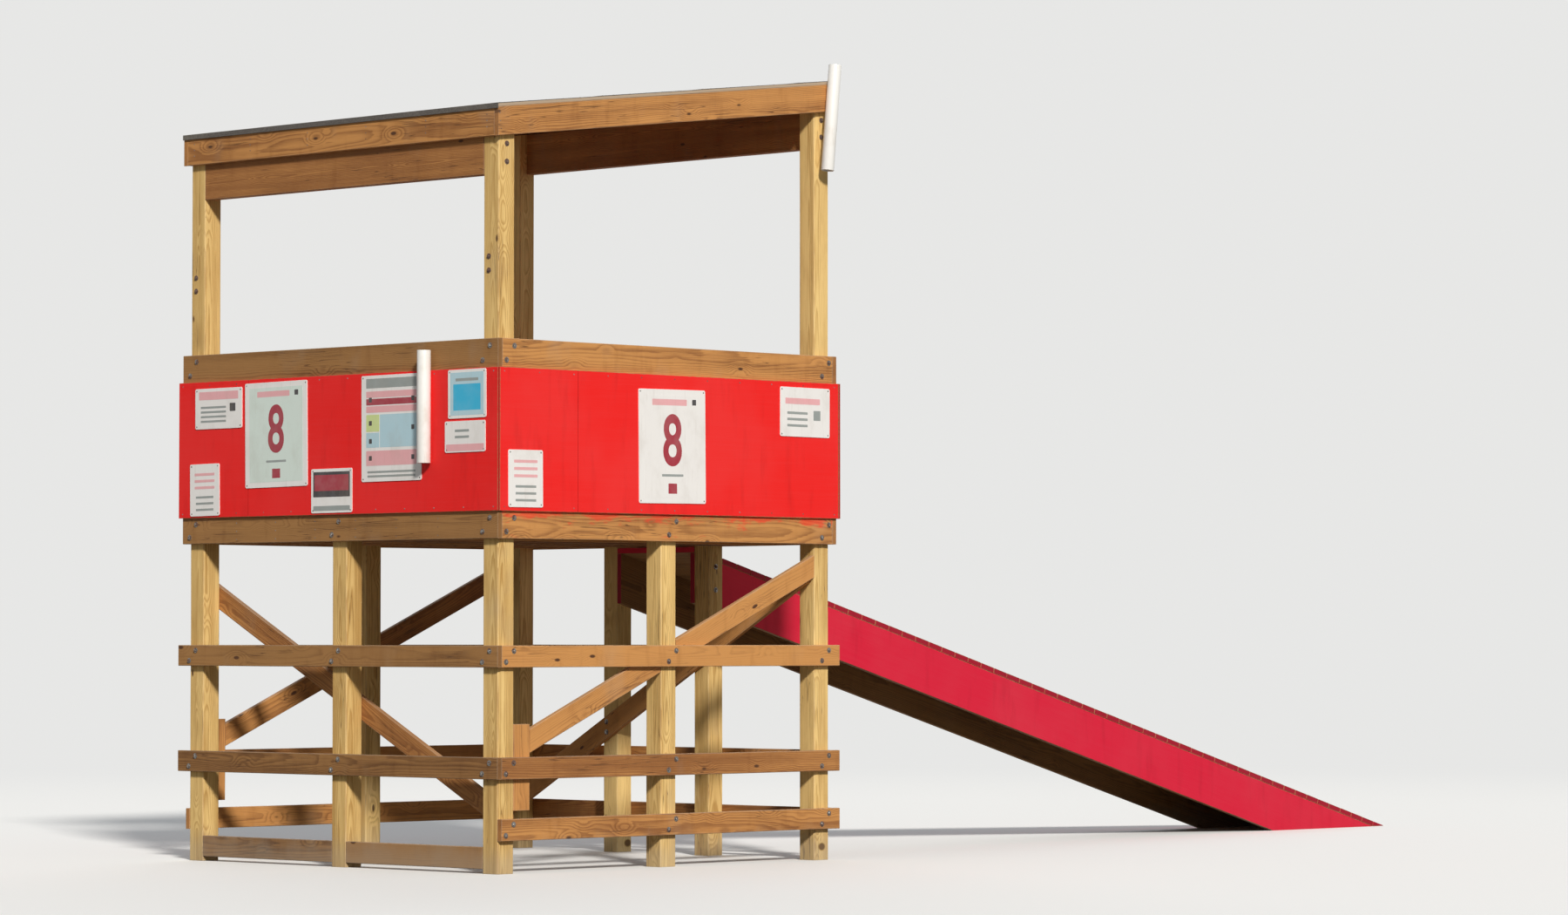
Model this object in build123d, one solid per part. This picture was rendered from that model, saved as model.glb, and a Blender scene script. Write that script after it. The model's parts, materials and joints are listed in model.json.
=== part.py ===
from build123d import *
from math import atan2, cos, degrees, radians, tan
import os

# A timber watch tower on braced legs, with a long entry ramp.
# X runs along the landward face, +Y runs down the ramp, Z is up, and the ground is Z = 0.
# Lengths are in millimetres and angles in degrees.

# Timber sections, as sawn and planed
post_side = 140
post_ease = 6
board_thick = 38
board_ease = 3
width_2x6 = 140
width_2x8 = 184
width_2x10 = 235
width_2x12 = 286
width_2x14 = 337
panel_thick = 19
fit = 2

# Plan of the tower, over the posts
plan_width = 3050
plan_depth = 3050

# Lower frame
rail_heights = (1380, 670)
side_bottom_rail_height = 280
land_sill_height = 100
land_rail_overrun = 80
side_rail_overrun = 70
land_brace_high = 1815
land_brace_low = 320
side_brace_low = 780
side_brace_high = 1980
sea_brace_low = 300
sea_brace_high = 1950
cleat_bottom = 400
cleat_height = 550

# Deck
rim_bottom = 2130
joist_pitch = 400
joist_pairs = 3
plank_gap_least = 2

# Guard panels and top rails
panel_height = 914
panel_lap = 60
rail_lap = 50

# Roof
roof_seat = 4740
roof_pitch = 7
rafter_count = 6
header_thick = 76
roofing_thick = 6
roofing_edge = 12
roofing_lip = 34

# Ramp
ramp_width = 760
ramp_reach = 7620
ramp_plank_gap = 5
ramp_tip_thick = 5

# White plastic tubes that hold flag poles
tube_outer = 88.9
tube_wall = 5.5
land_tube_length = 725
land_tube_bottom = 2620
land_tube_from_corner = 650
corner_tube_length = 725
corner_tube_below_barge = 400
corner_tube_inset = 95
corner_tube_lean = 6

# Places worked out from the sizes above
post_x = plan_width / 2
post_y = plan_depth / 2
inner_x = post_x - post_side
inner_y = post_y - post_side
frame_x = post_x + board_thick
frame_y = post_y + board_thick
skin_x = frame_x + panel_thick
skin_y = frame_y + panel_thick
rim_top = rim_bottom + width_2x10
deck_top = rim_top + board_thick
panel_bottom = rim_top - panel_lap
panel_top = panel_bottom + panel_height
top_rail_bottom = panel_top - rail_lap
top_rail_top = top_rail_bottom + width_2x10
door_half = ramp_width / 2
roof_x = frame_x
roof_y = frame_y
ramp_start = inner_y
ramp_top = rim_bottom - fit
ramp_run = frame_y - ramp_start + ramp_reach
ramp_angle = atan2(ramp_top, ramp_run)
tube_radius = tube_outer / 2
tip_cut = ramp_tip_thick / tan(ramp_angle)
barge_low = width_2x6 - width_2x8

# The origin is under the middle of the whole object's box, so the tower stands landward of it
farthest_left = -max(post_x + land_rail_overrun, skin_x)
farthest_right = roof_x + tube_outer
farthest_land = -skin_y - tube_outer
farthest_sea = ramp_start + ramp_run - tip_cut
shift_x = -(farthest_left + farthest_right) / 2
shift_y = -(farthest_land + farthest_sea) / 2


def eased(timber, size=board_ease):
    """Take the sharp corners off the four long edges of a timber."""
    return chamfer(timber.edges().sort_by(SortBy.LENGTH)[-4:], length=size)


def block(x_span, y_span, z_span):
    """A plain squared block between two opposite corners."""
    sizes = [high - low for low, high in (x_span, y_span, z_span)]
    corner = Pos(x_span[0], y_span[0], z_span[0])
    return corner * Box(*sizes, align=(Align.MIN, Align.MIN, Align.MIN))


def board(x_span, y_span, z_span):
    """A straight board, eased along its length."""
    return eased(block(x_span, y_span, z_span))


def cut_along_x(points, x_span):
    """A side profile in Y and Z, carried along X."""
    face = make_face(Polyline(*points, close=True))
    return extrude(Plane((x_span[0], 0, 0), (0, 1, 0), (1, 0, 0)) * face, x_span[1] - x_span[0])


def cut_along_y(points, y_span):
    """A front profile in X and Z, carried along Y."""
    face = make_face(Polyline(*points, close=True))
    return extrude(Plane((0, y_span[1], 0), (1, 0, 0), (0, -1, 0)) * face, y_span[1] - y_span[0])


def sloping(start, end, depth):
    """Outline of a sloping board about its centre line, with both ends cut plumb."""
    slope = atan2(end[1] - start[1], end[0] - start[0])
    half = depth / 2 / cos(slope)
    return (
        (start[0], start[1] - half),
        (end[0], end[1] - half),
        (end[0], end[1] + half),
        (start[0], start[1] + half),
    )


def along(start, end, place):
    """Height of a sloping centre line at one place on it."""
    return start[1] + (end[1] - start[1]) * (place - start[0]) / (end[0] - start[0])


def rafter_seat(y):
    """Height of the rafters' underside."""
    return roof_seat + (y + post_y) * tan(radians(roof_pitch))


def above_seat(y, depth):
    """Height of a surface that lies a square depth above the rafters' underside."""
    return rafter_seat(y) + depth / cos(radians(roof_pitch))


def roof_deck(y):
    """Height of the roof sheet's underside."""
    return above_seat(y, width_2x6)


def both_sides(solid):
    """The same piece on the left and the right."""
    return [solid, mirror(solid, Plane.YZ)]


# Posts

def corner_post(side, y_span):
    """A full-height post whose top is cut to the roof's slope."""
    outline = (
        (y_span[0], 0),
        (y_span[1], 0),
        (y_span[1], rafter_seat(y_span[1])),
        (y_span[0], rafter_seat(y_span[0])),
    )
    post = eased(cut_along_x(outline, (inner_x, post_x)), post_ease)
    return post if side > 0 else mirror(post, Plane.YZ)


def short_post(x_span, y_span, top):
    """A post from the ground to a level top."""
    return eased(block(x_span, y_span, (0, top)), post_ease)


def posts():
    land = (-post_y, -inner_y)
    sea = (inner_y, post_y)
    middle = (-post_side / 2, post_side / 2)
    beside_door = (door_half, door_half + post_side)
    door_post = short_post(beside_door, sea, top_rail_top)
    return {
        "post_land_left": corner_post(-1, land),
        "post_land_right": corner_post(1, land),
        "post_sea_left": corner_post(-1, sea),
        "post_sea_right": corner_post(1, sea),
        "post_land_middle": short_post(middle, land, rim_top),
        "post_left_middle": short_post((-post_x, -inner_x), middle, rim_top),
        "post_right_middle": short_post((inner_x, post_x), middle, rim_top),
        "ramp_post_right": door_post,
        "ramp_post_left": mirror(door_post, Plane.YZ),
    }


# Lower frame: level rails, braces and cleats

def level(centre, depth):
    """Height span of a level board about its centre."""
    return (centre - depth / 2, centre + depth / 2)


def land_rails():
    x_span = (-post_x - land_rail_overrun, frame_x)
    rails = [board(x_span, (-frame_y, -post_y), level(z, width_2x6)) for z in rail_heights]
    sill = board(
        (post_side / 2, inner_x),
        (-post_y, -post_y + board_thick),
        level(land_sill_height, width_2x6),
    )
    return rails + both_sides(sill)


def side_rails(side):
    x_span = (post_x, frame_x) if side > 0 else (-frame_x, -post_x)
    y_span = (-post_y, post_y + side_rail_overrun)
    heights = rail_heights + (side_bottom_rail_height,)
    return [board(x_span, y_span, level(z, width_2x6)) for z in heights]


def sea_rails():
    heights = rail_heights + (side_bottom_rail_height,)
    y_span = (post_y, frame_y)
    return [board((-post_x, post_x), y_span, level(z, width_2x6)) for z in heights]


def cross_brace(left_height, right_height, y_span):
    """One long brace on the inner faces of the posts, clear of the side braces."""
    reach = post_x - board_thick - fit
    outline = sloping((-reach, left_height), (reach, right_height), width_2x6)
    return eased(cut_along_y(outline, y_span))


def side_brace(side):
    """A brace in the plane of the posts, in two lengths that meet the middle post."""
    start = (-inner_y, side_brace_low)
    end = (inner_y, side_brace_high)
    cleat_edge = -inner_y + width_2x6
    lengths = ((cleat_edge, -post_side / 2), (post_side / 2, inner_y))
    x_span = (post_x - board_thick, post_x)
    pieces = []
    for near, far in lengths:
        outline = sloping((near, along(start, end, near)), (far, along(start, end, far)), width_2x6)
        pieces.append(eased(cut_along_x(outline, x_span)))
    return pieces if side > 0 else [mirror(piece, Plane.YZ) for piece in pieces]


def brace_cleats():
    """Upright boards on the landward posts, which the side braces start from."""
    cleat = board(
        (post_x - board_thick, post_x),
        (-inner_y, -inner_y + width_2x6),
        (cleat_bottom, cleat_bottom + cleat_height),
    )
    return both_sides(cleat)


# Deck

def rims():
    z_span = (rim_bottom, rim_top)
    cross = (-frame_x, frame_x)
    side = board((post_x, frame_x), (-post_y, post_y), z_span)
    return {
        "rim_land": board(cross, (-frame_y, -post_y), z_span),
        "rim_sea": board(cross, (post_y, frame_y), z_span),
        "rim_right": side,
        "rim_left": mirror(side, Plane.YZ),
    }


def floor_joists():
    joists = []
    for step in range(joist_pairs):
        centre = joist_pitch * (step + 0.5)
        x_span = (centre - board_thick / 2, centre + board_thick / 2)
        joists += both_sides(board(x_span, (-post_y, post_y), (rim_bottom, rim_top)))
    return joists


def post_notches():
    """The room that the deck boards leave round the posts that pass through them."""
    z_span = (rim_top - fit, deck_top + fit)
    corner_x = (inner_x - fit, post_x + fit)
    notches = []
    for y_span in ((-post_y - fit, -inner_y + fit), (inner_y - fit, post_y + fit)):
        notches += both_sides(block(corner_x, y_span, z_span))
    door_x = (door_half - fit, door_half + post_side + fit)
    return notches + both_sides(block(door_x, (inner_y - fit, post_y + fit), z_span))


def deck_planks():
    run = 2 * frame_y
    count = int((run + plank_gap_least) // (width_2x6 + plank_gap_least))
    pitch = (run - width_2x6) / (count - 1)
    notches = post_notches()
    planks = []
    for row in range(count):
        near = -frame_y + row * pitch
        plank = board((-frame_x, frame_x), (near, near + width_2x6), (rim_top, deck_top))
        cut = plank - notches
        planks += cut.solids()
    return planks


# Guard panels and top rails

def guard(x_edge, y_edge, z_span, thick):
    """Boards or sheets round the outside, open at the ramp, between an edge and its thickness."""
    side_y = y_edge - thick
    cross = (-x_edge, x_edge)
    pieces = {
        "land": block(cross, (-y_edge, -side_y), z_span),
        "right": block((x_edge - thick, x_edge), (-side_y, side_y), z_span),
        "sea": both_sides(block((door_half, x_edge), (side_y, y_edge), z_span)),
    }
    pieces["left"] = mirror(pieces["right"], Plane.YZ)
    return pieces


def top_rails():
    rails = guard(frame_x, frame_y, (top_rail_bottom, top_rail_top), board_thick)
    return {
        "top_rail_land": eased(rails["land"]),
        "top_rail_left": eased(rails["left"]),
        "top_rail_right": eased(rails["right"]),
        "top_rail_sea": [eased(piece) for piece in rails["sea"]],
    }


def panels():
    sheets = guard(skin_x, skin_y, (panel_bottom, panel_top), panel_thick)
    return {"panel_" + place: sheet for place, sheet in sheets.items()}


# Roof

def header(y_span):
    """A built-up beam between two corner posts, bevelled on top to the roof's slope."""
    bottom = rafter_seat(y_span[0]) - width_2x12
    outline = (
        (y_span[0], bottom),
        (y_span[1], bottom),
        (y_span[1], rafter_seat(y_span[1])),
        (y_span[0], rafter_seat(y_span[0])),
    )
    return eased(cut_along_x(outline, (-inner_x, inner_x)))


def sloped_board(y_span, low, high, x_span):
    """A board that follows the roof, between two square depths above the rafters' underside."""
    outline = (
        (y_span[0], above_seat(y_span[0], low)),
        (y_span[1], above_seat(y_span[1], low)),
        (y_span[1], above_seat(y_span[1], high)),
        (y_span[0], above_seat(y_span[0], high)),
    )
    return cut_along_x(outline, x_span)


def rafters():
    spread = post_x - post_side / 2
    pitch = 2 * spread / (rafter_count - 1)
    reach = roof_y - board_thick
    pieces = []
    for step in range(rafter_count):
        centre = -spread + step * pitch
        x_span = (centre - board_thick / 2, centre + board_thick / 2)
        pieces.append(eased(sloped_board((-reach, reach), 0, width_2x6, x_span)))
    return pieces


def fascia(y_span, outer):
    """A board across the posts and the rafter ends, bevelled on top to lie under the roof sheet."""
    bottom = roof_deck(outer) - width_2x8
    outline = (
        (y_span[0], bottom),
        (y_span[1], bottom),
        (y_span[1], roof_deck(y_span[1])),
        (y_span[0], roof_deck(y_span[0])),
    )
    reach = roof_x - board_thick
    return eased(cut_along_x(outline, (-reach, reach)))


def barge_boards():
    """Sloping boards on the outer faces of the posts, which cover the fascias' ends."""
    x_span = (roof_x - board_thick, roof_x)
    return both_sides(eased(sloped_board((-roof_y, roof_y), barge_low, width_2x6, x_span)))


def roof_sheet():
    return sloped_board((-roof_y, roof_y), width_2x6, width_2x6 + panel_thick, (-roof_x, roof_x))


def roofing():
    """Roofing felt, flush with the barge boards, with a drip lip turned down over the landward edge."""
    under = width_2x6 + panel_thick
    over = under + roofing_thick
    land = -roof_y - roofing_edge
    sea = roof_y + roofing_edge
    outline = (
        (land, above_seat(land, over)),
        (land, above_seat(land, over) - roofing_lip),
        (-roof_y, above_seat(land, over) - roofing_lip),
        (-roof_y, above_seat(-roof_y, under)),
        (sea, above_seat(sea, under)),
        (sea, above_seat(sea, over)),
    )
    return cut_along_x(outline, (-roof_x, roof_x))


# Ramp

def ramp_line(y, depth):
    """Height of a line that lies a square depth under the ramp's walking surface."""
    return ramp_top - (y - ramp_start) * tan(ramp_angle) - depth / cos(ramp_angle)


def ramp_foot(depth):
    """Where such a line meets the ground."""
    return ramp_start + ramp_line(ramp_start, depth) / tan(ramp_angle)


def ramp_stringer(side):
    """A deep board on edge between the ramp posts, cut plumb under the deck and level on the ground."""
    top = board_thick
    bottom = board_thick + width_2x14
    outline = (
        (ramp_start, ramp_line(ramp_start, bottom)),
        (ramp_foot(bottom), 0),
        (ramp_foot(top), 0),
        (ramp_start, ramp_line(ramp_start, top)),
    )
    outer = ramp_width / 2
    stringer = eased(cut_along_x(outline, (outer - board_thick, outer)))
    return stringer if side > 0 else mirror(stringer, Plane.YZ)


def ramp_planks():
    """Boards across the stringers, the first cut plumb under the deck and the last cut level."""
    length = ramp_run / cos(ramp_angle)
    count = int(length // (width_2x6 + ramp_plank_gap))
    pitch = length / count
    half = ramp_width / 2
    room = block((-half, half), (ramp_start, farthest_sea), (0, ramp_top))
    slope = Pos(0, ramp_start, ramp_top) * Rot(-degrees(ramp_angle), 0, 0)
    planks = []
    for row in range(count):
        near = row * pitch - (ramp_plank_gap + board_thick if row == 0 else 0)
        far = (row + 1) * pitch - ramp_plank_gap
        plank = board((-half, half), (near, far), (-board_thick, 0))
        planks.append(slope * plank & room)
    return planks


# Flag tubes

def tube(length):
    """An open plastic tube that stands on its lower end."""
    pipe = Cylinder(tube_radius, length) - Cylinder(tube_radius - tube_wall, length)
    return Pos(0, 0, length / 2) * pipe


def land_tube():
    """The tube that stands against the landward panel."""
    place = Pos(skin_x - land_tube_from_corner, -skin_y - tube_radius, land_tube_bottom)
    return place * tube(land_tube_length)


def corner_tube():
    """The tube on the right barge board's outer face, which leans outwards and stands above the roof."""
    foot_y = post_y - corner_tube_inset
    foot_z = above_seat(foot_y, barge_low) - corner_tube_below_barge
    place = Pos(roof_x + tube_radius, foot_y, foot_z)
    return place * Rot(-corner_tube_lean, 0, 0) * tube(corner_tube_length)


def all_nodes():
    nodes = posts()
    nodes["rails_land"] = land_rails()
    nodes["rails_left"] = side_rails(-1)
    nodes["rails_right"] = side_rails(1)
    nodes["rails_sea"] = sea_rails()
    nodes["brace_land"] = cross_brace(land_brace_high, land_brace_low, (-inner_y, -inner_y + board_thick))
    nodes["brace_sea"] = cross_brace(sea_brace_low, sea_brace_high, (inner_y - board_thick, inner_y))
    nodes["brace_left"] = side_brace(-1)
    nodes["brace_right"] = side_brace(1)
    nodes["brace_cleats"] = brace_cleats()
    nodes.update(rims())
    nodes["floor_joists"] = floor_joists()
    nodes["deck_planks"] = deck_planks()
    nodes.update(panels())
    nodes.update(top_rails())
    nodes["header_land"] = header((-post_y, -post_y + header_thick))
    nodes["header_sea"] = header((post_y - header_thick, post_y))
    nodes["rafters"] = rafters()
    nodes["fascia_land"] = fascia((-roof_y, -roof_y + board_thick), -roof_y)
    nodes["fascia_sea"] = fascia((roof_y - board_thick, roof_y), roof_y)
    nodes["barge_boards"] = barge_boards()
    nodes["roof_sheet"] = roof_sheet()
    nodes["roofing"] = roofing()
    nodes["ramp_stringer_left"] = ramp_stringer(-1)
    nodes["ramp_stringer_right"] = ramp_stringer(1)
    nodes["ramp_planks"] = ramp_planks()
    nodes["flag_tube_land"] = land_tube()
    nodes["flag_tube_corner"] = corner_tube()
    return nodes


os.makedirs("parts", exist_ok=True)
for name, shape in all_nodes().items():
    solids = shape if isinstance(shape, list) else [shape]
    whole = Compound(children=[solid for piece in solids for solid in piece.solids()])
    export_step(Pos(shift_x, shift_y, 0) * whole, "parts/" + name + ".step")
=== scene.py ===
import json
from functools import reduce
from itertools import product
from math import cos, pi, radians, sin
from random import Random

import bmesh
import bpy
from mathutils import Matrix, Vector, noise


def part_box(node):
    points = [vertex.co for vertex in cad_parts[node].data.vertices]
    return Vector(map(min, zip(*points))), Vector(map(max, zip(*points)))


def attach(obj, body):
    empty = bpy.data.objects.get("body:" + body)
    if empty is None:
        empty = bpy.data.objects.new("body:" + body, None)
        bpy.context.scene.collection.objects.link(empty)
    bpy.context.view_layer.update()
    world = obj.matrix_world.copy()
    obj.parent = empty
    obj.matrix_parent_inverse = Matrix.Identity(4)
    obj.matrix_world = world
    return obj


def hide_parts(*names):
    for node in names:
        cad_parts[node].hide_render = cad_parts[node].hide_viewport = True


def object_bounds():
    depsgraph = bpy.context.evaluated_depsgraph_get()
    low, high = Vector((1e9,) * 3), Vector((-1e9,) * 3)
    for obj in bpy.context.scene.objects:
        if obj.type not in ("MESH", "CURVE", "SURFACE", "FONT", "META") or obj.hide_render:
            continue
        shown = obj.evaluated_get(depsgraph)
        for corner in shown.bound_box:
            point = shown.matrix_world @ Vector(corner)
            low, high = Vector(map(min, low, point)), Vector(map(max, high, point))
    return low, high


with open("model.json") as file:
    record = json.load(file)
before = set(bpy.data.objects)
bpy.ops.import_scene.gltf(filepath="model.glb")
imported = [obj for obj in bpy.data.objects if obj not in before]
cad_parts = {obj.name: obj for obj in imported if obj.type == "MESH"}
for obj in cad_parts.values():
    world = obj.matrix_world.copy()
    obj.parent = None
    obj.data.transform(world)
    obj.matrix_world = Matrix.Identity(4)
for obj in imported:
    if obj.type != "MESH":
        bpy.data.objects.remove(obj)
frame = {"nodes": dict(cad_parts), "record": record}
CAD_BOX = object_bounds()

# Looks of a timber watch tower: grained boards, painted guards and ramp, felt, plates and fixings.
# Lengths are in metres. The landward face is the one away from the ramp.

bl_info = {
    "name": "Watch tower looks",
    "version": (1, 0, 0),
    "blender": (4, 5, 0),
    "location": "View3D > Sidebar > Tower",
    "description": "Dresses the timber watch tower with grain, paint, felt, plates and fixings",
    "category": "Object",
}

ROOT = "root"
NODES = sorted(frame["nodes"])


def named(*starts):
    return [name for name in NODES if name.startswith(starts)]


POSTS = [name for name in NODES if "post_" in name]
LOWER_FRAME = named("rails_", "brace_", "rim_")
GUARD_RAILS = named("top_rail_")
GUARD_PANELS = named("panel_")
STRINGERS = named("ramp_stringer_")
ROOF_TIMBER = [*named("header_"), "rafters", *named("fascia_"), "barge_boards"]

# The frame boards that differ: older and browner ones, and one that paint ran on to
ODD_BOARDS = {
    "rails_land": "aged timber", "rim_land": "aged timber", "top_rail_land": "aged timber",
    "rim_right": "smeared timber",
}


# Settings

def number(name, default, about, **limits):
    return bpy.props.FloatProperty(name=name, description=about, default=default, **limits)


def length(name, default, about):
    return number(name, default, about, unit="LENGTH")


def share(name, default, about):
    return number(name, default, about, min=0.0, max=1.0, subtype="FACTOR")


def colour(name, default, about):
    return bpy.props.FloatVectorProperty(
        name=name, description=about, default=default, size=3, min=0.0, max=1.0, subtype="COLOR"
    )


def group(kind, name, about):
    return bpy.props.PointerProperty(type=kind, name=name, description=about)


class TimberLook(bpy.types.PropertyGroup):
    post_pale: colour("Post, pale", (0.90, 0.63, 0.25), "Early wood of the posts")
    post_dark: colour("Post, dark", (0.51, 0.29, 0.082), "Late wood of the posts")
    board_pale: colour("Board, pale", (0.61, 0.285, 0.086), "Early wood of the frame boards")
    board_dark: colour("Board, dark", (0.28, 0.110, 0.032), "Late wood of the frame boards")
    aged_pale: colour("Old board, pale", (0.36, 0.18, 0.060), "Early wood of the landward boards")
    aged_dark: colour("Old board, dark", (0.155, 0.066, 0.020), "Late wood of the landward boards")
    deck_pale: colour("Deck, pale", (0.50, 0.33, 0.18), "Early wood of the deck boards")
    deck_dark: colour("Deck, dark", (0.24, 0.13, 0.06), "Late wood of the deck boards")
    ply_pale: colour("Plywood, pale", (0.42, 0.26, 0.12), "Early wood of the roof sheet")
    ply_dark: colour("Plywood, dark", (0.22, 0.11, 0.04), "Late wood of the roof sheet")
    knot: colour("Knot", (0.085, 0.032, 0.012), "Colour of a knot")
    weathered: colour("Weathered", (0.42, 0.36, 0.28), "Colour of sun-bleached wood")
    ring_pitch: length("Ring pitch", 0.0075, "Distance between growth rings")
    rounding: length("Rounding", 0.0012, "Radius that wear leaves on a cut edge")
    waver: length("Waver", 0.0012, "How far a sawn face strays from flat")
    cut_pitch: length("Waver pitch", 0.15, "Distance between the cross cuts that let a board waver")


class PaintLook(bpy.types.PropertyGroup):
    panel: colour("Guard panel", (0.90, 0.016, 0.014), "Paint of the guard panels")
    ramp: colour("Ramp", (0.72, 0.012, 0.045), "Paint of the ramp")
    primer: colour("Bare wood", (0.40, 0.22, 0.11), "Wood that shows where paint is gone")
    panel_wear: share("Panel wear", 0.25, "How much paint is chipped off the panels")
    ramp_wear: share("Ramp wear", 0.3, "How much paint is worn off the ramp")
    sheet_length: length("Sheet length", 2.44, "Length of a plywood sheet in a guard panel")
    sheet_gap: length("Sheet gap", 0.003, "Gap between two sheets")


class RoofLook(bpy.types.PropertyGroup):
    felt: colour("Felt", (0.060, 0.052, 0.046), "Mineral roofing felt")
    felt_speck: colour("Felt speck", (0.26, 0.24, 0.22), "Pale granules in the felt")
    course: length("Felt course", 0.92, "Width of a course of felt that stays open")
    lap_step: length("Lap step", 0.0028, "Thickness of felt at a lap")


class FixingLook(bpy.types.PropertyGroup):
    steel: colour("Zinc", (0.20, 0.19, 0.175), "Dulled galvanised steel")
    rust: colour("Rust", (0.10, 0.034, 0.014), "Rust on the steel")
    bolt_across: length("Bolt head", 0.019, "Size of a hexagon head across its flats")
    bolt_high: length("Bolt head height", 0.008, "Height of a hexagon head")
    washer_radius: length("Washer radius", 0.0185, "Radius of a washer")
    washer_thick: length("Washer thickness", 0.003, "Thickness of a washer")
    screw_radius: length("Screw head radius", 0.0048, "Radius of a countersunk head")
    nail_radius: length("Nail head radius", 0.0042, "Radius of a nail head")
    clout_radius: length("Clout head radius", 0.006, "Radius of a roofing nail's head")
    proud: length("Head standing proud", 0.0012, "How far a screw or nail head stands out")


class PlateLook(bpy.types.PropertyGroup):
    thick: length("Plate thickness", 0.006, "Thickness of a plate")
    print_thick: length("Print thickness", 0.0005, "Height of a printed layer above its plate")
    corner: length("Corner radius", 0.012, "Radius of a plate's corners")
    white: colour("White", (0.86, 0.84, 0.82), "Ground of the plates")
    mint: colour("Pale green", (0.70, 0.80, 0.74), "Inner field of a number plate")
    pink: colour("Pink", (0.82, 0.42, 0.44), "Faded red print")
    crimson: colour("Crimson", (0.36, 0.020, 0.040), "Numerals and emblems")
    grey: colour("Grey", (0.30, 0.33, 0.32), "Small print")
    black: colour("Black", (0.028, 0.022, 0.024), "Dark print")
    blue: colour("Pale blue", (0.46, 0.66, 0.74), "Blue field")
    cyan: colour("Cyan", (0.03, 0.46, 0.72), "Bright blue field")
    lime: colour("Lime", (0.62, 0.72, 0.30), "Yellow-green field")


class TubeLook(bpy.types.PropertyGroup):
    white: colour("Pipe", (0.88, 0.87, 0.84), "White plastic pipe")
    lip: length("Lip rounding", 0.0012, "Rounding of the pipe's cut ends")


class StageLook(bpy.types.PropertyGroup):
    azimuth: number("Camera azimuth", radians(47.0), "Direction of view, 0 is along +Y", subtype="ANGLE")
    distance: length("Camera distance", 35.0, "Distance from the camera to the middle of the tower")
    eye: length("Eye height", 1.5, "Height of the camera above the ground")
    margin: share("Margin", 0.045, "Part of the picture left free on each side")
    key: number("Key light", 3.35, "Strength of the key light", min=0.0)
    fill: number("Fill light", 0.29, "Strength of the fill light", min=0.0)
    back: number("Back light", 0.9, "Strength of the back light", min=0.0)
    backdrop: colour("Backdrop", (0.80, 0.80, 0.79), "Floor and background as the camera sees them")
    floor: colour("Floor", (0.20, 0.19, 0.17), "Floor as the object's light sees it")


class TowerLook(bpy.types.PropertyGroup):
    timber: group(TimberLook, "Timber", "Grain and colour of the timber")
    paint: group(PaintLook, "Paint", "Paint of the panels and the ramp")
    roof: group(RoofLook, "Roof", "Felt on the roof")
    fixings: group(FixingLook, "Fixings", "Bolts, screws and nails")
    plates: group(PlateLook, "Plates", "Plates on the guard panels")
    tubes: group(TubeLook, "Tubes", "White pipes")
    stage: group(StageLook, "Stage", "Camera, lights and floor")


def look():
    return bpy.context.scene.tower_look


# Shader wiring

class Value:
    """One output of a node. It takes plain arithmetic, and its node's other outputs as items."""

    def __init__(self, wires, made, output=0):
        self.wires = wires
        self.made = made
        self.socket = made.outputs[output]

    def __getitem__(self, output):
        return Value(self.wires, self.made, output)

    def act(self, operation, *terms):
        kind = self.wires.math if self.socket.type == "VALUE" else self.wires.vector
        return kind(operation, *terms)

    def __add__(self, other):
        return self.act("ADD", self, other)

    def __sub__(self, other):
        return self.act("SUBTRACT", self, other)

    def __rsub__(self, other):
        return self.act("SUBTRACT", other, self)

    def __mul__(self, other):
        return self.act("MULTIPLY", self, other)

    def __truediv__(self, other):
        return self.act("DIVIDE", self, other)

    def __abs__(self):
        return self.act("ABSOLUTE", self)


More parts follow.
